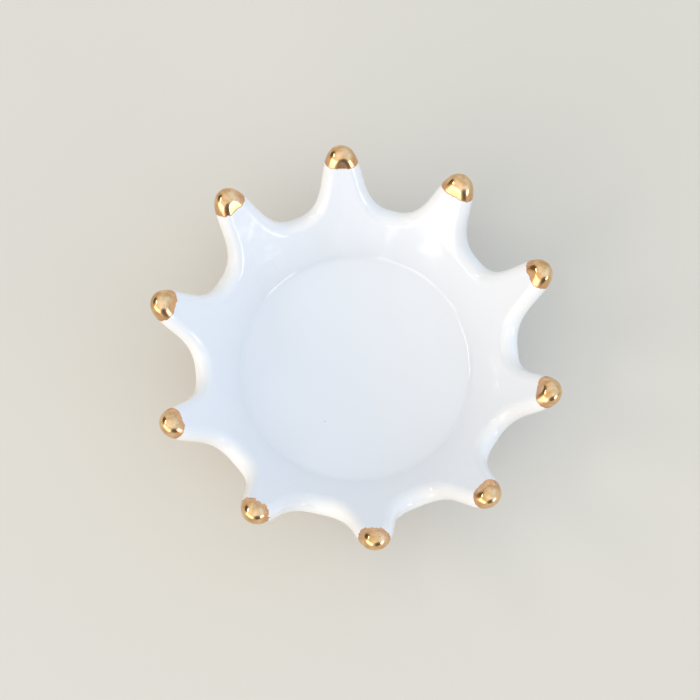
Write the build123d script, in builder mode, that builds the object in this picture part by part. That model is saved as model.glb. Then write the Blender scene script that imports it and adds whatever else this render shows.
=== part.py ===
from build123d import *
from math import atan, cos, degrees, radians, sin, sqrt, tan
import os

os.makedirs("parts", exist_ok=True)

# Ring dish: a shallow round well inside a steep wall that runs out into blunt horns, each with
# a gold end. It rests on z = 0, +Z is up and the first horn points along +Y.

# Driving dimensions, in millimetres and degrees
horn_count = 10
first_horn_angle = 90.0
well_edge_radius = 34.4  # the line where the well meets the sloping wall
well_depth = 6.6
floor_thickness = 4.8  # from the table up to the middle of the well
well_edge_round = 1.8
wall_slope = 50.5
wall_thickness = 6.6
shoulder_width = 10.5  # level, from the well edge to the middle of the rim between two horns
horn_reach = 22.0  # along the slope, from the middle of that rim to the centre of a horn end
horn_end_radius = 4.25
horn_end_flare = 37.0  # between a horn's axis and its side, where the round end stops
valley_straight = 0.8  # half the straight run at the bottom of a valley
gold_reach = 1.5  # how far the gold runs back behind the centre of the horn end
gold_thickness = 0.35
foot_height = 1.2
foot_width = 3.4
foot_inset = 2.8  # from the lower corner of the wall in to the foot ring
corner_round = 2.4
foot_round = 0.5

# Shares, which have no unit
end_handle_share = 0.3  # of the horn's reach, the handle of the side curve at the horn end
root_handle_share = 0.41  # the same at the valley
wall_round_share = 0.98  # of half the wall, so that the two rounds of a cut almost meet
end_round_share = 0.92  # of the horn's end, where that limits the rounds
joint_share = 0.3  # of the well's depth, from its edge up to where the horns join on
inside_share = 0.999  # of a distance or height, to tell the rim's edges from what bounds them

# Sizes that follow from these
half_sector = 180.0 / horn_count
half_wall = wall_thickness / 2
slope_cos = cos(radians(wall_slope))
slope_sin = sin(radians(wall_slope))
slope_tan = tan(radians(wall_slope))
sector_cos = cos(radians(half_sector))
sector_sin = sin(radians(half_sector))
sector_tan = tan(radians(half_sector))
well_edge_height = floor_thickness + well_depth
joint_height = well_edge_height + joint_share * well_depth
valley_radius = well_edge_radius + shoulder_width
tip_ring_radius = valley_radius + horn_reach * slope_cos
level_wall = wall_thickness / slope_sin


def inner_radius(height):
    # radius of the wall's inner face at a height
    return well_edge_radius + (height - well_edge_height) / slope_tan


def middle_height(radius):
    # height of the wall's middle surface at a radius
    rise = (radius - half_wall * slope_sin - well_edge_radius) * slope_tan
    return well_edge_height + rise - half_wall * slope_cos


tip_height = middle_height(tip_ring_radius)


def mirrored(points):
    # the same outline points on the other side of the horn, in reverse order
    return [(along, -across) for along, across in reversed(points)]


def horn_sector(inset):
    # One horn with its share of the wall, rounded, with every skin moved in by the inset
    half_skin = half_wall - inset
    end_radius = horn_end_radius - inset
    edge_round = min(wall_round_share * half_skin, end_round_share * end_radius)

    # where the cut edge crosses the valley, along and across the horn from its end centre
    cut_radius = valley_radius + half_skin * slope_cos
    cut_height = middle_height(valley_radius) + half_skin * slope_sin
    level_part = (cut_radius * sector_cos - tip_ring_radius) * slope_cos
    valley_along = level_part + (cut_height - tip_height) * slope_sin
    valley_across = cut_radius * sector_sin

    # direction of the cut edge there, square to the valley, so that no crease shows
    lean = sector_tan * slope_cos
    lean_length = sqrt(1 + lean * lean)
    root_along, root_across = lean / lean_length, -1 / lean_length

    def along_root(distance):
        # a point on the straight run at the valley, or past it where negative
        return (valley_along + root_along * distance, valley_across + root_across * distance)

    # round end, side curve with its two handles, straight run at the valley
    end_angle = 90.0 - horn_end_flare
    end_point = (end_radius * cos(radians(end_angle)), end_radius * sin(radians(end_angle)))
    end_handle = end_handle_share * horn_reach
    side_curve = [
        end_point,
        (
            end_point[0] - end_handle * cos(radians(horn_end_flare)),
            end_point[1] + end_handle * sin(radians(horn_end_flare)),
        ),
        along_root(valley_straight + root_handle_share * horn_reach),
        along_root(valley_straight),
    ]
    past_valley = along_root(-wall_thickness)
    root = [side_curve[-1], past_valley, (-tip_ring_radius, past_valley[1])]

    # plane square to the horn's upper face, set back so that one cut passes the whole wall
    set_back = 2 * wall_thickness
    cut_plane = Plane(
        origin=(
            tip_ring_radius + set_back * slope_sin,
            0,
            tip_height - set_back * slope_cos,
        ),
        x_dir=(slope_cos, 0, slope_sin),
        z_dir=(-slope_sin, 0, slope_cos),
    )

    def is_rim_edge(edge):
        # true for the long edges of the cut, false for its straight sides and the joint below
        middle = edge.position_at(1 / 2)
        return abs(middle.Y) < inside_share * past_valley[1] and inside_share * middle.Z > joint_height

    with BuildPart() as horn:
        # sloping wall, from its joint with the well up past the horn ends
        with BuildSketch(Plane.XZ):
            with BuildLine():
                past_end = 2 * horn_end_radius
                far_radius = tip_ring_radius + past_end * slope_cos
                far_height = tip_height + past_end * slope_sin
                level_inset = inset / slope_sin
                inner_foot = inner_radius(joint_height) + level_inset
                outer_foot = inner_radius(joint_height) + level_wall - level_inset
                over, under = half_skin * slope_cos, half_skin * slope_sin
                Polyline(
                    (inner_foot, joint_height),
                    (outer_foot, joint_height),
                    (far_radius + under, far_height - over),
                    (far_radius - under, far_height + over),
                    close=True,
                )
            make_face()
        revolve(axis=Axis.Z)

        # the horn's outline, which runs straight on past the valleys beside it
        with BuildSketch(cut_plane):
            with BuildLine():
                CenterArc((0, 0), end_radius, -end_angle, 2 * end_angle)
                Bezier(*side_curve)
                Polyline(*root, *mirrored(root))
                Bezier(*mirrored(side_curve))
            make_face()
        extrude(amount=2 * set_back, mode=Mode.INTERSECT)

        # both edges of the cut, rounded until they almost meet
        skin_edges = horn.faces().filter_by(GeomType.CONE).edges()
        fillet(skin_edges.filter_by(is_rim_edge), radius=edge_round)

        # what lies in this horn's own sector
        with BuildSketch(Plane.XY):
            with BuildLine():
                side_reach = 2 * tip_ring_radius
                side_spread = side_reach * sector_tan
                Polyline((0, 0), (side_reach, -side_spread), (side_reach, side_spread), close=True)
            make_face()
        extrude(amount=2 * (tip_height + horn_end_radius), mode=Mode.INTERSECT)
    return horn.part


full_horn = horn_sector(0)
horn_core = horn_sector(gold_thickness)

gold_line = Plane(
    origin=(
        tip_ring_radius - gold_reach * slope_cos,
        0,
        tip_height - gold_reach * slope_sin,
    ),
    z_dir=(slope_cos, 0, slope_sin),
)

# Gold end of a horn: a thin cap, flush with the glaze, over a core that much smaller
with BuildPart() as gold_cap:
    add(full_horn)
    split(bisect_by=gold_line, keep=Keep.TOP)
    add(horn_core, mode=Mode.SUBTRACT)

with BuildPart() as glazed_horn:
    add(full_horn)
    add(gold_cap.part, mode=Mode.SUBTRACT)

# Dish body: the turned well, lower wall and foot ring, with all its horns
with BuildPart() as dish_body:
    with BuildSketch(Plane.XZ):
        with BuildLine():
            # the well is one arc, level at its middle and as deep as it should be at its edge
            curve_radius = (well_edge_radius * well_edge_radius / well_depth + well_depth) / 2
            curve_turn = 2 * degrees(atan(well_depth / well_edge_radius))
            curve_centre = (0, floor_thickness + curve_radius)
            corner_radius = inner_radius(foot_height) + level_wall
            foot_outer = corner_radius - foot_inset
            foot_inner = foot_outer - foot_width
            CenterArc(curve_centre, curve_radius, -90, curve_turn)
            Polyline(
                (well_edge_radius, well_edge_height),
                (inner_radius(joint_height), joint_height),
                (inner_radius(joint_height) + level_wall, joint_height),
                (corner_radius, foot_height),
                (foot_outer, foot_height),
                (foot_outer, 0),
                (foot_inner, 0),
                (foot_inner, foot_height),
                (0, foot_height),
                (0, floor_thickness),
            )
        profile = make_face()
        corners = profile.vertices()
        well_edge = corners.sort_by_distance((well_edge_radius, well_edge_height))[0]
        wall_corner = corners.sort_by_distance((corner_radius, foot_height))[0]
        foot_corners = corners.sort_by_distance(((foot_outer + foot_inner) / 2, 0))[:2]
        fillet(well_edge, radius=well_edge_round)
        fillet(wall_corner, radius=corner_round)
        fillet(foot_corners, radius=foot_round)
    revolve(axis=Axis.Z)
    with PolarLocations(0, horn_count, start_angle=first_horn_angle):
        add(glazed_horn.part)

dish_body.part.label = "dish_body"
export_step(dish_body.part, "parts/dish_body.step")

for index in range(horn_count):
    turn = first_horn_angle - index * 2 * half_sector
    with BuildPart() as gold_tip:
        add(gold_cap.part, rotation=(0, 0, turn))
    name = f"gold_tip_{index + 1:02d}"
    gold_tip.part.label = name
    export_step(gold_tip.part, f"parts/{name}.step")
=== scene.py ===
import math

import bpy
import numpy as np
from mathutils import Matrix, Vector


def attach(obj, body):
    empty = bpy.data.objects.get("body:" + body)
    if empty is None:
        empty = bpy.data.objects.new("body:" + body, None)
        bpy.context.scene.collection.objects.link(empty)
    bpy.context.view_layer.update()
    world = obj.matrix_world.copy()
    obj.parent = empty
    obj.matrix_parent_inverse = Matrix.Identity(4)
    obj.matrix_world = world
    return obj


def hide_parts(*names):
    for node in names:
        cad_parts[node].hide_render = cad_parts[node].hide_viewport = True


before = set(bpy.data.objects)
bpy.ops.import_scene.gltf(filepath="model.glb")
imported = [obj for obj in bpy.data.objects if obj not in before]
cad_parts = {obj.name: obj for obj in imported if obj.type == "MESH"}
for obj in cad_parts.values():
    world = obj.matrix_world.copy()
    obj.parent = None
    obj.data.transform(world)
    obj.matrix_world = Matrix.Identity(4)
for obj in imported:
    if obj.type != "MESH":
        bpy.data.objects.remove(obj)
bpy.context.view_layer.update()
print("frame loaded:", len(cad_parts), "nodes")

metresPerMm = 0.001


class Wire:
    # A socket of a node tree. Sums, differences and products of wires add Math nodes.
    def __init__(self, tree, socket=None):
        self.tree = tree
        self.socket = socket

    def node(self, kind, settings, inputs, output=0):
        # a new node: its settings are set first, then the values or links of its sockets
        made = self.tree.nodes.new(kind)
        for name, value in settings.items():
            setattr(made, name, value)
        for key, value in inputs.items():
            if isinstance(value, Wire):
                self.tree.links.new(value.socket, made.inputs[key])
            else:
                made.inputs[key].default_value = value
        return Wire(self.tree, made.outputs[output])

    def worked(self, operation, first, second):
        return self.node("ShaderNodeMath", {"operation": operation}, {0: first, 1: second})

    def __add__(self, other):
        return self.worked("ADD", self, other)

    __radd__ = __add__

    def __sub__(self, other):
        return self.worked("SUBTRACT", self, other)

    def __rsub__(self, other):
        return self.worked("SUBTRACT", other, self)

    def __mul__(self, other):
        return self.worked("MULTIPLY", self, other)

    __rmul__ = __mul__

    def between(self, low, high):
        # 0 below low, 1 above high and a smooth step from one to the other
        ends = {"Value": self, "From Min": low, "From Max": high}
        return self.node("ShaderNodeMapRange", {"interpolation_type": "SMOOTHSTEP"}, ends)

    def noise(self, scale, detail=2.0, roughness=0.5):
        # this wire is a position; the answer runs from 0 to 1
        inputs = {"Vector": self, "Scale": scale, "Detail": detail, "Roughness": roughness}
        return self.node("ShaderNodeTexNoise", {}, inputs)

    def coloured(self, low, high):
        # this wire is a share, from the colour low at 0 to the colour high at 1
        inputs = {"Factor": self, 6: low, 7: high}
        return self.node("ShaderNodeMix", {"data_type": "RGBA"}, inputs, 2)


def newMaterial(name, constants):
    # a material with one Principled shader and its constants, and a wire to start from
    material = bpy.data.materials.new(name)
    material.use_nodes = True
    shader = next(n for n in material.node_tree.nodes if n.type == "BSDF_PRINCIPLED")
    for key, value in constants.items():
        shader.inputs[key].default_value = value
    return material, shader, Wire(material.node_tree)


def feed(shader, **wires):
    # links wires to the shader's sockets, named in camelCase
    names = {"baseColor": "Base Color", "roughness": "Roughness", "normal": "Normal"}
    for key, wire in wires.items():
        shader.id_data.links.new(wire.socket, shader.inputs[names[key]])


porcelain = {
    "glaze": (0.81, 0.82, 0.86, 1.0),
    "pooledGlaze": (0.70, 0.75, 0.83, 1.0),
    "thinGlaze": (0.87, 0.86, 0.86, 1.0),
    "bareClay": (0.80, 0.77, 0.71, 1.0),
    "darkClay": (0.70, 0.67, 0.61, 1.0),  # between the grains of the bare clay
    "speck": (0.45, 0.44, 0.46, 1.0),
    "roughness": 0.07,
    "smearRoughness": 0.05,  # what faint smears add to the glaze's roughness
    "bareRoughness": 0.75,
    "mottleShare": 0.12,  # how much a mottle moves the line where the glaze pools
    "rippleSize": 0.006,
    "rippleHeight": 0.00012,
    "bareHeight": 0.00035,  # what is below this height has no glaze
    "bareWander": 0.00018,  # how much that height wanders
    "speckPlace": (-0.0107, -0.0142, 0.0064),
    "speckSize": 0.00028,
    "speckWander": 0.00025,  # how ragged the speck is
    "speckStrength": 0.6,
}


def glazedPorcelain():
    look = porcelain
    constants = {"Specular IOR Level": 0.5, "IOR": 1.5}
    material, shader, start = newMaterial("glazed_porcelain", constants)
    place = start.node("ShaderNodeTexCoord", {}, {}, "Object")
    cover = start.node("ShaderNodeAttribute", {"attribute_name": "glazeCover"}, {}, "Fac")

    # glaze gathers in hollows, blue-grey, and draws thin and warm over edges
    mottle = place.noise(70.0, 3.0)
    pooled = (cover + look["mottleShare"] * (mottle - 0.5)).between(0.0, 1.0)
    thin = (0 - cover).between(0.0, 1.0)
    colour = pooled.coloured(look["glaze"], look["pooledGlaze"])
    colour = thin.coloured(colour, look["thinGlaze"])

    # one speck in the floor
    apart = start.node(
        "ShaderNodeVectorMath", {"operation": "DISTANCE"}, {0: place, 1: look["speckPlace"]}, "Value"
    )
    ragged = apart + look["speckWander"] * (place.noise(2600.0) - 0.5)
    speck = 1 - ragged.between(0.4 * look["speckSize"], 1.3 * look["speckSize"])
    colour = (look["speckStrength"] * speck).coloured(colour, look["speck"])

    # the foot ring is wiped clean of glaze before firing
    height = start.node("ShaderNodeSeparateXYZ", {}, {0: place}, "Z")
    wiped = height + look["bareWander"] * (place.noise(300.0) - 0.5)
    bare = 1 - wiped.between(0.7 * look["bareHeight"], look["bareHeight"])
    grain = place.noise(4200.0, 2.0)
    clay = grain.coloured(look["darkClay"], look["bareClay"])
    colour = bare.coloured(colour, clay)

    smear = place.noise(38.0, 4.0, 0.6)
    glossy = look["roughness"] + look["smearRoughness"] * smear.between(0.45, 0.75)
    roughness = glossy + bare * (look["bareRoughness"] - glossy)

    # the glaze ripples faintly, and the bare clay is grainy
    ripple = place.noise(1 / look["rippleSize"], 1.0)
    surface = ripple * (1 - bare) + 0.25 * grain * bare
    normal = start.node(
        "ShaderNodeBump", {}, {"Height": surface, "Strength": 1.0, "Distance": look["rippleHeight"]}
    )
    feed(shader, baseColor=colour, roughness=roughness, normal=normal)
    return material


lustre = {
    "gold": (0.93, 0.64, 0.37, 1.0),
    "deepGold": (0.66, 0.39, 0.17, 1.0),
    # near the gold's edge: thinner lustre, and a painted reflection of a brown wooden table
    "thinGoldAndPaintedReflection": (0.74, 0.42, 0.22, 1.0),
    "edgeFrom": 0.45,  # the lustre thins, and a painted brown reflection starts, from this share of the way to its edge
    "edgeWhole": 0.95,  # and both are whole from here on
    "roughness": 0.10,
    "strokeSize": 0.0011,
    "strokeHeight": 0.00001,
}


def goldLustre():
    # cloudy gold that turns thin, reddish and duller towards its edge, in streaks; the reddish brown there
    # is partly the lustre's thinning and partly a painted reflection of a wooden table
    look = lustre
    material, shader, start = newMaterial("gold_lustre", {"Metallic": 1.0, "IOR": 1.5})
    place = start.node("ShaderNodeTexCoord", {}, {}, "Object")
    nearEdge = start.node("ShaderNodeAttribute", {"attribute_name": "nearEdge"}, {}, "Fac")
    cloud = place.noise(380.0, 3.0, 0.6)
    colour = cloud.between(0.3, 0.7).coloured(look["deepGold"], look["gold"])
    streak = place.noise(900.0, 2.0)
    # towards the edge the colour turns to thin lustre with a painted reflection of a brown wooden table
    thin = (nearEdge + 0.5 * (streak - 0.5)).between(look["edgeFrom"], look["edgeWhole"])
    colour = thin.coloured(colour, look["thinGoldAndPaintedReflection"])
    roughness = look["roughness"] + 0.10 * cloud.between(0.45, 0.8) + 0.12 * thin
    stroke = place.noise(1 / look["strokeSize"], 2.0)
    normal = start.node(
        "ShaderNodeBump", {}, {"Height": stroke, "Strength": 1.0, "Distance": look["strokeHeight"]}
    )
    feed(shader, baseColor=colour, roughness=roughness, normal=normal)
    return material


glazeMaterial = glazedPorcelain()
goldMaterial = goldLustre()
print("materials made")


# The dish, in millimetres and degrees. Shares have no unit.
dish = {
    "hornCount": 10,
    "firstHorn": 90.0,
    "wellEdgeRadius": 34.4,
    "wellDepth": 6.6,
    "floorThickness": 4.8,
    "wellEdgeRound": 5.0,  # the CAD edge has 1.8: the glaze fills it by about 0.1 mm
    "wallSlope": 50.5,
    "wallThickness": 6.6,
    "shoulderWidth": 10.5,
    "hornReach": 22.0,
    "hornEndRadius": 4.25,
    "hornEndFlare": 37.0,
    "valleyStraight": 0.8,
    "endHandleShare": 0.3,
    "rootHandleShare": 0.41,
    "footHeight": 1.2,
    "footWidth": 3.4,
    "footInset": 2.8,
    "cornerRound": 2.4,
    "footRound": 0.5,
    "footRootRound": 0.55,  # where the foot ring meets the underside
    "skin": 0.08,  # the glaze lies this far inside the CAD surface, so that the gold can lie on it
    "poleRing": 1.5,  # radius of the rows next to the middle of the well and of the underside
    "edgeRun": 1.5,  # level distance from the last even row of the well to its edge
}

# How each horn's end is shifted, clockwise from the first and in millimetres: sideways, which is
# counter-clockwise, outwards and upwards.
handWork = {
    "lean": [0.1, -0.15, 0.1, -0.35, -0.45, 0.65, 0.55, 1.0, 0.75, 0.05],
    "splay": [-0.5, -0.85, -0.35, -0.7, 0.45, -0.55, -0.65, 0.3, -0.22, -0.1],
    "lift": [-0.6, -1.0, -0.4, -0.85, 0.0, -0.65, -0.8, 0.0, 0.0, -0.1],
}

# How the glaze lies, as row numbers and the cover there: above 0 it pools, below 0 it is drawn thin.
glazeCover = {
    "well": ([0, 12, 23, 26, 38, 41], [0.0, 0.0, 0.08, 0.15, 0.15, 0.0]),
    "upperFace": ([0, 4, 32], [0.0, 0.0, -0.1]),
    "rim": -0.9,  # at its outermost, and less by a cosine above and below that
    "underside": ([2, 5, 8, 10], [0, -0.5, 0, 0.6]),
}

dishRows = {"well": 24, "wellEdge": 17, "upperFace": 33, "rim": 25, "outside": 23}
columnsPerHorn = 64
columnRun, columnTurn = 1.0, 0.16  # so many mm of the rim count as much as so many radians of its turn

half = dish["wallThickness"] / 2 - dish["skin"]
slope = math.radians(dish["wallSlope"])
slopeCos, slopeSin, slopeTan = math.cos(slope), math.sin(slope), math.tan(slope)
sector = math.pi / dish["hornCount"]
edgeHeight = dish["floorThickness"] + dish["wellDepth"]
valleyRadius = dish["wellEdgeRadius"] + dish["shoulderWidth"]
tipRadius = valleyRadius + dish["hornReach"] * slopeCos
middleShift = dish["wallThickness"] / 2


def middleHeight(radius):
    # height of the wall's middle cone at a radius: a straight line, as steep as the wall slopes
    rise = (radius - middleShift * slopeSin - dish["wellEdgeRadius"]) * slopeTan
    return edgeHeight + rise - middleShift * slopeCos


tipHeight = middleHeight(tipRadius)


def wallPoint(radius, angle, offset):
    # a point of the middle cone at a radius and angle, moved by offset square to the cone
    across = radius - offset * slopeSin
    height = middleHeight(radius) + offset * slopeCos
    return np.stack([across * np.cos(angle), across * np.sin(angle), height + 0 * angle], -1)


def wallNormal(angle):
    # the unit vector square to the cone, up and inwards
    return np.stack([-slopeSin * np.cos(angle), -slopeSin * np.sin(angle), slopeCos + 0 * angle], -1)


def halfOutline(endRadius):
    # Half of a horn's outline in the plane of its upper face, from the tip to the valley: an arc, then
    # a cubic Bezier side, then a short straight run. A point is its way along the slope, from the end's
    # centre, and its way across.
    cutRadius = valleyRadius + (middleShift - dish["skin"]) * slopeCos
    cutHeight = middleHeight(valleyRadius) + (middleShift - dish["skin"]) * slopeSin
    levelPart = (cutRadius * math.cos(sector) - tipRadius) * slopeCos
    valley = np.array([levelPart + (cutHeight - tipHeight) * slopeSin, cutRadius * math.sin(sector)])
    lean = math.tan(sector) * slopeCos
    root = np.array([lean, -1.0]) / math.hypot(lean, 1.0)
    flare = math.radians(dish["hornEndFlare"])
    turn = np.linspace(0, math.pi / 2 - flare, 120)[:, None]
    arc = endRadius * np.hstack([np.cos(turn), np.sin(turn)])
    handle = dish["endHandleShare"] * dish["hornReach"]
    p0 = arc[-1]
    p1 = p0 + handle * np.array([-math.cos(flare), math.sin(flare)])
    p2 = valley + root * (dish["valleyStraight"] + dish["rootHandleShare"] * dish["hornReach"])
    p3 = valley + root * dish["valleyStraight"]
    t = np.linspace(0, 1, 500)[1:, None]
    side = (1 - t) ** 3 * p0 + 3 * (1 - t) ** 2 * t * p1 + 3 * (1 - t) * t * t * p2 + t**3 * p3
    straight = p3 + np.linspace(0, 1, 20)[1:, None] * (valley - p3)
    return np.vstack([arc, side, straight])


def ontoCone(along, across):
    # A point of the plane that touches the middle cone along the horn's axis, moved square to it onto
    # the cone: the shift solves a quadratic. The answer is a radius and an angle from the horn's axis.
    x = tipRadius + along * slopeCos
    lift = slopeCos**2 / slopeSin
    a = lift**2 - slopeSin**2
    b = x * (lift + slopeSin)
    shift = (np.sqrt(b * b + a * across**2) - b) / a
    level = x - shift * slopeSin
    return np.hypot(level, across), np.arctan2(across, level)


def hornRim():
    # One horn's share of the rim, from one valley to the next: points on the centre line of the rounded
    # edge, their outward directions along the cone and their shares of the way. The outline is laid on
    # the cone, outwards is its tangent crossed with the cone's normal, and the centre line lies half a
    # wall inwards. Points crowd where the outline turns.
    outline = halfOutline(dish["hornEndRadius"] - dish["skin"])
    whole = np.vstack([outline[::-1] * [1, -1], outline[1:]])
    radius, angle = ontoCone(whole[:, 0], whole[:, 1])
    points = wallPoint(radius, angle, 0.0)
    tangent = np.gradient(points, axis=0)
    # the tangent at a valley lies square to the valley's own radius
    for end, side in ((0, -1), (-1, 1)):
        square = np.array([-math.sin(side * sector), math.cos(side * sector), 0])
        tangent[end] = np.linalg.norm(tangent[end]) * square
    normal = wallNormal(angle)
    outward = np.cross(tangent, normal)
    outward /= np.linalg.norm(outward, axis=1, keepdims=True)
    centre = points - half * outward
    step = np.linalg.norm(np.diff(points, axis=0), axis=1)
    bend = np.arccos(np.clip((outward[1:] * outward[:-1]).sum(1), -1, 1))
    measure = np.concatenate([[0], np.cumsum(step / columnRun + bend / columnTurn)])
    wanted = np.linspace(0, measure[-1], columnsPerHorn + 1)[:-1]
    centre = np.stack([np.interp(wanted, measure, centre[:, k]) for k in range(3)], -1)
    outward = np.stack([np.interp(wanted, measure, outward[:, k]) for k in range(3)], -1)
    share = wanted / measure[-1]
    return centre, outward, share


def turned(points, angle):
    # points turned about the upright axis
    c, s = np.cos(angle), np.sin(angle)
    x = points[..., 0] * c - points[..., 1] * s
    y = points[..., 0] * s + points[..., 1] * c
    return np.stack([x, y, points[..., 2]], -1)


def handMade(points, horn):
    # A horn, in its own frame with the axis along X, shifted by an amount that grows smoothly from the
    # valley, where it is 0, to the horn's end: three times the square less twice the cube of the share
    # of the way.
    along = (points[..., 0] - tipRadius) * slopeCos + (points[..., 2] - tipHeight) * slopeSin
    grown = np.clip(1 + along / dish["hornReach"], 0, 1)
    grown = grown * grown * (3 - 2 * grown)
    shift = np.array([handWork["splay"][horn], handWork["lean"][horn], handWork["lift"][horn]])
    return points + grown[..., None] * shift


def roundedProfile(corners):
    # A line of (radius, height) through corners, each rounded by an arc that touches both of its sides.
    # A corner is its place, its round, the rows of its arc and the rows of the straight run before it.
    places = np.array([c[0] for c in corners], float)
    rows = [places[:1]]
    for i in range(1, len(corners)):
        _, roundness, arcRows, straightRows = corners[i]
        here, back = places[i], places[i - 1] - places[i]
        back /= np.linalg.norm(back)
        if roundness:
            ahead = places[i + 1] - here
            ahead /= np.linalg.norm(ahead)
            opening = math.acos(np.clip(back @ ahead, -1, 1))
            reach = roundness / math.tan(opening / 2)
            middle = (back + ahead) / np.linalg.norm(back + ahead)
            centre = here + middle * roundness / math.sin(opening / 2)
            first, last = here + back * reach - centre, here + ahead * reach - centre
            share = np.linspace(0, 1, arcRows)[:, None]
            swing = math.pi - opening
            blend = np.sin((1 - share) * swing) * first + np.sin(share * swing) * last
            arc = blend / math.sin(swing) + centre
        else:
            arc = here[None]
        start = rows[-1][-1]
        share = (np.arange(1, straightRows + 1) / (straightRows + 1))[:, None]
        rows += [start + share * (arc[0] - start), arc]
    return np.vstack(rows)


def dishSurface():
    # The whole casting as one grid. Its columns go round the dish and crowd at the horns' ends. Its
    # rows go from the middle of the well up its arc, over the horns' upper faces, round the rim, down
    # the outside, under the foot ring and in to the middle of the underside. The well's height is its
    # arc's radius less the root of that radius squared less the distance squared. The rim is half a
    # wall times a cosine outwards and times a sine square to the wall.
    centre, outward, share = hornRim()
    # horns are laid out counter-clockwise, so that the columns go the same way
    horns = np.arange(dish["hornCount"])
    azimuth = math.radians(dish["firstHorn"]) + horns * 2 * sector
    radius = np.hypot(centre[:, 0], centre[:, 1])
    swing = np.arctan2(centre[:, 1], centre[:, 0])
    even = (share - 0.5) * 2 * sector
    rootRadius = dish["wellEdgeRadius"] + middleShift * slopeSin + dish["wellEdgeRound"] / 2
    normal = wallNormal(swing)
    outward = outward - (outward * normal).sum(1)[:, None] * normal
    outward /= np.linalg.norm(outward, axis=1, keepdims=True)

    def face(steps, offset):
        # the conical face: even round the well at its root, and following the rim's centre line at its
        # end
        t = steps[:, None]
        bent = t * t * (3 - 2 * t)
        r = rootRadius + t * (radius - rootRadius)
        a = even + bent * (swing - even)
        return wallPoint(r, a, offset)

    # the rows of the upper face crowd a little towards the rim
    upper = face(np.linspace(0, 1, dishRows["upperFace"]) ** 0.9, half)
    around = np.linspace(math.pi / 2, -math.pi / 2, dishRows["rim"])[1:-1]
    middle = wallPoint(radius, swing, 0.0)
    rim = middle + half * (np.cos(around)[:, None, None] * outward + np.sin(around)[:, None, None] * normal)
    lower = face(np.linspace(1, 0, dishRows["outside"]), -half)

    top = upper[0, 0]
    bottom = lower[-1, 0]
    topRadius, bottomRadius = np.hypot(top[0], top[1]), np.hypot(bottom[0], bottom[1])
    floor = dish["floorThickness"] - dish["skin"]
    # the well is an arc, level in the middle; it meets the wall in a round
    arcRadius = (dish["wellEdgeRadius"] ** 2 / dish["wellDepth"] + dish["wellDepth"]) / 2
    across = np.linspace(dish["poleRing"], dish["wellEdgeRadius"] + 1, 400)
    bowl = floor + arcRadius - np.sqrt(arcRadius**2 - across**2)
    meeting = np.argmin(np.abs(bowl - top[2] - (across - topRadius) * slopeTan))
    evenSteps = np.linspace(dish["poleRing"], across[meeting] - dish["edgeRun"], dishRows["well"])
    arc = np.stack([evenSteps, np.interp(evenSteps, across, bowl)], -1)
    corner = roundedProfile([
        (arc[-1], 0, 0, 0),
        ((across[meeting], bowl[meeting]), dish["wellEdgeRound"], dishRows["wellEdge"], 0),
        ((topRadius, top[2]), 0, 0, 1),
    ])
    well = np.vstack([arc[:-1], corner])
    footHeight = dish["footHeight"]
    cornerRadius = dish["wellEdgeRadius"] + (footHeight - edgeHeight) / slopeTan
    cornerRadius += dish["wallThickness"] / slopeSin - dish["skin"]
    footOuter = cornerRadius - dish["footInset"]
    footInner = footOuter - dish["footWidth"]
    base = roundedProfile([
        ((bottomRadius, bottom[2]), 0, 0, 0),
        ((cornerRadius, footHeight), dish["cornerRound"], 7, 2),
        ((footOuter, footHeight), dish["footRootRound"], 4, 0),
        ((footOuter, 0.0), dish["footRound"], 5, 0),
        ((footInner, 0.0), dish["footRound"], 5, 1),
        ((footInner, footHeight), dish["footRootRound"], 4, 0),
        ((dish["poleRing"], footHeight), 0, 0, 2),
    ])

    def circles(profile):
        # rows of a turned profile
        across, height = profile[:, :1], profile[:, 1:]
        return np.stack([across * np.cos(even), across * np.sin(even), height + 0 * even], -1)

    rows = np.concatenate([circles(well[:-1]), upper, rim, lower, circles(base[1:])])
    cover = np.concatenate([
        np.interp(np.arange(len(well) - 1), *glazeCover["well"]),
        np.interp(np.arange(len(upper)), *glazeCover["upperFace"]),
        glazeCover["rim"] * np.cos(around),
        np.zeros(len(lower)),
        np.interp(np.arange(len(base) - 1), *glazeCover["underside"]),
    ])
    parts = []
    for horn in horns:
        k = -horn % dish["hornCount"]  # the horns' own lists go clockwise
        bent = handMade(rows, k)
        parts.append(turned(bent, azimuth[horn]))
    grid = np.concatenate(parts, 1)
    return grid, np.repeat(cover[:, None], grid.shape[1], 1)


def closedGrid(name, grid, attribute, values, poles):
    # A grid whose columns close into a ring, with a middle point at its first and last row, made a mesh
    rows, columns = grid.shape[:2]
    index = np.arange(rows * columns).reshape(rows, columns)
    after = np.roll(index, -1, 1)
    quads = np.stack([index[:-1], index[1:], after[1:], after[:-1]], -1).reshape(-1, 4)
    first, last = rows * columns, rows * columns + 1
    top = np.stack([np.full(columns, first), index[0], after[0]], -1)
    bottom = np.stack([np.full(columns, last), after[-1], index[-1]], -1)
    points = np.vstack([grid.reshape(-1, 3), poles]) * metresPerMm
    mesh = bpy.data.meshes.new(name)
    mesh.from_pydata(points.tolist(), [], quads.tolist() + top.tolist() + bottom.tolist())
    mesh.polygons.foreach_set("use_smooth", np.ones(len(mesh.polygons), bool))
    store = mesh.attributes.new(attribute, "FLOAT", "POINT")
    flat = np.concatenate([values.ravel(), values[[0, -1], 0]])
    store.data.foreach_set("value", flat.astype(np.float32))
    mesh.update()
    piece = bpy.data.objects.new(name, mesh)
    bpy.context.scene.collection.objects.link(piece)
    return piece


grid, cover = dishSurface()
poles = np.array([[0, 0, grid[0, 0, 2]], [0, 0, grid[-1, 0, 2]]])
porcelainDish = closedGrid("porcelain_dish", grid, "glazeCover", cover, poles)
porcelainDish.data.materials.append(glazeMaterial)
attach(porcelainDish, "root")
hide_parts("dish_body")
print("dish made:", len(porcelainDish.data.polygons), "faces")


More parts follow.
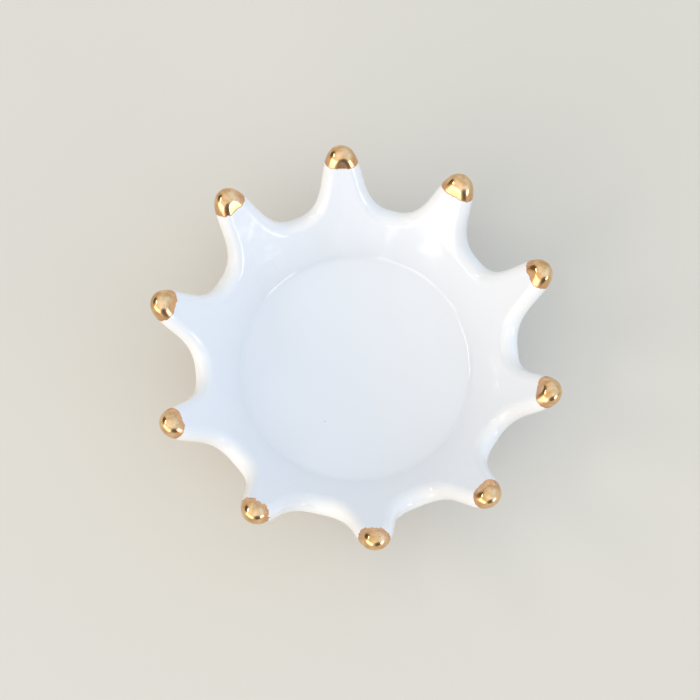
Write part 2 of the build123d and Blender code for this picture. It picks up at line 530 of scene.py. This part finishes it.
# The gold ends, in millimetres. Shares have no unit.
gilding = {
    "rows": 30,
    "columns": 96,
    "film": 0.05,  # above the glaze
    "depth": 0.12,  # how deep the shell's hidden side lies
    "firstRingShare": 0.035,  # of the way from the tip to the edge
    "edgeShare": 0.35,  # how near the edge's row lies to the film, and not to the hidden side
    "medialReach": 9.0,  # how far behind the end's centre the medial line is kept
    # Where the gold stops, clockwise from the first horn: how far behind the end's centre in the middle
    # of the upper face, how much less away from there, how much more on the counter-clockwise side, and
    # how ragged.
    "reach": [1.85, 1.95, 1.6, 2.05, 1.9, 0.35, 0.7, 1.1, 2.05, 2.3],
    "bow": [0.6, 0.0, 0.8, 0.95, 1.4, -0.2, 0.2, 0.65, 0.9, 0.9],
    "tilt": [-0.3, 0.0, 0.0, 0.45, 0.75, -1.0, -0.5, -0.25, 0.0, 0.0],
    "ragged": [0.10, 0.08, 0.12, 0.10, 0.12, 0.42, 0.45, 0.14, 0.14, 0.12],
    "bowPower": 1.3,
    "waveTurns": (3, 30),
    "waveFade": 0.55,
    "seed": 40,
}

endOutline = halfOutline(dish["hornEndRadius"] - dish["skin"])


def medialLine():
    # the outline moved in by half the wall: what the rounded edge is rolled round, on one side of the
    # horn
    tangent = np.gradient(endOutline, axis=0)
    tangent /= np.linalg.norm(tangent, axis=1, keepdims=True)
    return endOutline - half * np.stack([tangent[:, 1], -tangent[:, 0]], -1)


medial = medialLine()
medial = medial[medial[:, 0] > -gilding["medialReach"]]


def endShell(offset, limits):
    # The horn's end as a grid of rings, from near its tip to the limits behind it. A ring point is as
    # wide as the outline there times a cosine. Its height is what is left of half the wall, by
    # Pythagoras, at its distance from the medial line.
    endRadius = dish["hornEndRadius"] - dish["skin"] + offset
    thick = half + offset
    around = np.linspace(0, 2 * math.pi, gilding["columns"], endpoint=False)
    quarter = endRadius * math.pi / 2
    share = np.linspace(gilding["firstRingShare"], 1, gilding["rows"])[:, None]
    path = share * (quarter - limits)
    along = np.where(path < quarter, endRadius * np.cos(path / endRadius), quarter - path)
    onEnd = np.sqrt(np.maximum(endRadius**2 - along**2, 0))
    behind = np.interp(-along, -endOutline[:, 0], endOutline[:, 1]) + offset
    joint = endRadius * math.sin(math.radians(dish["hornEndFlare"]))
    width = np.where(along > joint, onEnd, behind)
    across = width * np.cos(around)
    side = np.sign(across) + (across == 0)
    flat = np.stack([along, np.abs(across)], -1).reshape(-1, 1, 2)
    nearest = np.argmin(((flat - medial[None]) ** 2).sum(-1), 1)
    foot = medial[nearest].reshape(along.shape + (2,))
    inside = np.abs(across) < np.interp(-along, -medial[:, 0], medial[:, 1], left=0)
    point = np.stack([along, np.abs(across)], -1)
    foot = np.where(inside[..., None], point, foot)
    away = point - foot
    distance = np.linalg.norm(away, axis=-1)
    height = np.sqrt(np.maximum(thick**2 - distance**2, 0)) * np.sign(np.sin(around) + 1e-9)
    height = np.where(np.abs(np.sin(around)) < 1e-9, 0, height)
    radius, angle = ontoCone(foot[..., 0], foot[..., 1] * side)
    normal = wallNormal(angle)
    upSlope = np.array([slopeCos, 0, slopeSin])
    sideways = np.array([0, 1.0, 0])
    spread = away[..., :1] * upSlope + (away[..., 1:] * side[..., None]) * sideways
    spread = spread - (spread * normal).sum(-1, keepdims=True) * normal
    return wallPoint(radius, angle, 0.0) + spread + height[..., None] * normal


def goldEnd(number):
    # One gold end. Its edge lies at a ragged wave less its reach. The wave is a sum of cosines, each of
    # a random size over a power of its turns. The reach is the horn's own, less a bow away from the
    # middle of the upper face, plus a tilt times a cosine. An outer and an inner shell join at the
    # edge.
    k = number - 1
    around = np.linspace(0, 2 * math.pi, gilding["columns"], endpoint=False)
    rng = np.random.default_rng(gilding["seed"] + number)
    wave = sum(
        rng.normal() / n ** gilding["waveFade"] * np.cos(n * around + rng.uniform(0, 2 * math.pi))
        for n in range(*gilding["waveTurns"])
    )
    upperFace = np.maximum(np.sin(around), 0) ** gilding["bowPower"]
    reach = gilding["reach"][k] - gilding["bow"][k] * (1 - upperFace) + gilding["tilt"][k] * np.cos(around)
    limits = gilding["ragged"][k] * wave - reach
    outer = endShell(gilding["film"], limits)
    inner = endShell(-gilding["depth"], limits)[::-1]
    edgeRow = outer[-1:] * gilding["edgeShare"] + inner[:1] * (1 - gilding["edgeShare"])
    grid = np.concatenate([outer[:-1], edgeRow, inner[1:]])
    nearEdge = np.linspace(gilding["firstRingShare"], 1, gilding["rows"])[:, None] + 0 * around
    edge = np.concatenate([nearEdge, nearEdge[::-1][1:]])
    grid = handMade(grid, k)
    azimuth = math.radians(dish["firstHorn"]) - k * 2 * sector
    ends = []
    for offset in (gilding["film"], -gilding["depth"]):
        endRadius = dish["hornEndRadius"] - dish["skin"] + offset
        ends.append([tipRadius + endRadius * slopeCos, 0, tipHeight + endRadius * slopeSin])
    ends = handMade(np.array(ends), k)
    name = f"gold_end_{number:02d}"
    piece = closedGrid(name, turned(grid, azimuth), "nearEdge", edge, turned(ends, azimuth))
    piece.data.materials.append(goldMaterial)
    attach(piece, "root")
    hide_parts(f"gold_tip_{number:02d}")


for number in range(1, dish["hornCount"] + 1):
    goldEnd(number)
print("gold ends made")


# Floor, light and camera, in metres and degrees.
studio = {
    "floorColour": (0.71, 0.67, 0.61, 1.0),
    "floorReach": 6.0,
    "skyStrength": 1.225,
    "horizonShare": 0.85,  # of the sky's strength, left at the horizon
    "skyFrom": 0.45,  # the sine of the elevation above which the sky is even
    "darkParts": ((-0.85, 0.40, 0.28), (0.25, -0.90, 0.30)),  # the ways to the two darker parts of the sky
    "darkFrom": 0.82,  # the cosine of the angle to a dark part where the sky starts to darken
    "darkWhole": 0.97,  # and where it is darkest
    "darkShare": 0.85,
    "southGain": 0.21,
    "westSky": (0.91, 0.83, 0.68, 1.0),
    "eastSky": (0.70, 0.86, 1.05, 1.0),
    "target": (-0.00153, 0.00593, 0.0114),
    "towardsCamera": (-0.0243, -0.2695, 0.9627),
    "imageUp": (0.080, 0.997, 0.0),
    "distance": 2.0,
    "lens": 344.06,
    "lightDistance": 1.6,
    # name, azimuth, elevation, width and height, power in watts, colour
    "lights": (
        ("warm_window", 221, 16, (1.75, 0.76), 8.3, (1.0, 0.92, 0.85)),
        ("white_window", 318.5, 12, (0.66, 0.42), 3.5, (1.0, 0.99, 0.98)),
        ("ceiling_lamp", 169, 38, (0.7, 0.11), 2.4, (1.0, 0.98, 0.94)),
    ),
}


def paleFloor():
    # one large square at the height of the dish's foot
    reach = studio["floorReach"]
    corners = [(-reach, -reach, 0), (reach, -reach, 0), (reach, reach, 0), (-reach, reach, 0)]
    mesh = bpy.data.meshes.new("studio_floor")
    mesh.from_pydata(corners, [], [(0, 1, 2, 3)])
    floor = bpy.data.objects.new("studio_floor", mesh)
    bpy.context.scene.collection.objects.link(floor)
    material, shader, _ = newMaterial("pale_floor", {"Roughness": 0.9, "Specular IOR Level": 0.1})
    shader.inputs["Base Color"].default_value = studio["floorColour"]
    mesh.materials.append(material)


def softLight(name, azimuth, elevation, size, power, colour):
    # a rectangular area light that faces the dish, with its upper and lower edges level
    data = bpy.data.lights.new(name, "AREA")
    data.shape = "RECTANGLE"
    data.size, data.size_y = size
    data.energy = power
    data.color = colour
    light = bpy.data.objects.new(name, data)
    a, e = math.radians(azimuth), math.radians(elevation)
    back = Vector((math.cos(e) * math.cos(a), math.cos(e) * math.sin(a), math.sin(e)))
    right = Vector((0, 0, 1)).cross(back).normalized()
    turn = Matrix((right, back.cross(right), back)).transposed().to_4x4()
    light.matrix_world = Matrix.Translation(back * studio["lightDistance"]) @ turn
    light.visible_camera = False
    bpy.context.scene.collection.objects.link(light)


def studioWorld():
    # A soft sky, the same for every kind of ray, warm to the west and cool to the east. Its strength is
    # its own times a share, times 1 less the south's gain times the way north. The share rises from the
    # horizon's to 1, and is cut by the dark share where the way to a dark part lies close.
    world = bpy.data.worlds.new("studio")
    bpy.context.scene.world = world
    world.use_nodes = True
    background = next(n for n in world.node_tree.nodes if n.type == "BACKGROUND")
    start = Wire(world.node_tree)
    way = start.node("ShaderNodeTexCoord", {}, {}, "Generated")
    east, north, high = (start.node("ShaderNodeSeparateXYZ", {}, {0: way}, axis) for axis in "XYZ")
    raised = high.between(0.0, studio["skyFrom"])
    share = studio["horizonShare"] + (1 - studio["horizonShare"]) * raised
    for part in studio["darkParts"]:
        nearness = start.node(
            "ShaderNodeVectorMath", {"operation": "DOT_PRODUCT"}, {0: way, 1: part}, "Value"
        )
        dark = nearness.between(studio["darkFrom"], studio["darkWhole"])
        share = share * (1 - studio["darkShare"] * dark)
    strength = studio["skyStrength"] * share * (1 - studio["southGain"] * north)
    colour = (0.5 + 0.5 * east).coloured(studio["westSky"], studio["eastSky"])
    world.node_tree.links.new(strength.socket, background.inputs["Strength"])
    world.node_tree.links.new(colour.socket, background.inputs["Color"])


paleFloor()
studioWorld()
for light in studio["lights"]:
    softLight(*light)

back = Vector(studio["towardsCamera"]).normalized()
right = Vector(studio["imageUp"]).cross(back).normalized()
up = back.cross(right)
camera = bpy.data.objects.new("camera", bpy.data.cameras.new("camera"))
camera.data.sensor_width = 36.0
camera.data.lens = studio["lens"]
camera.data.clip_end = 30.0
place = Vector(studio["target"]) + back * studio["distance"]
turn = Matrix((right, up, back)).transposed().to_4x4()
camera.matrix_world = Matrix.Translation(place) @ turn
bpy.context.scene.collection.objects.link(camera)
bpy.context.scene.camera = camera
bpy.context.scene.view_settings.view_transform = "Standard"
print("studio made")
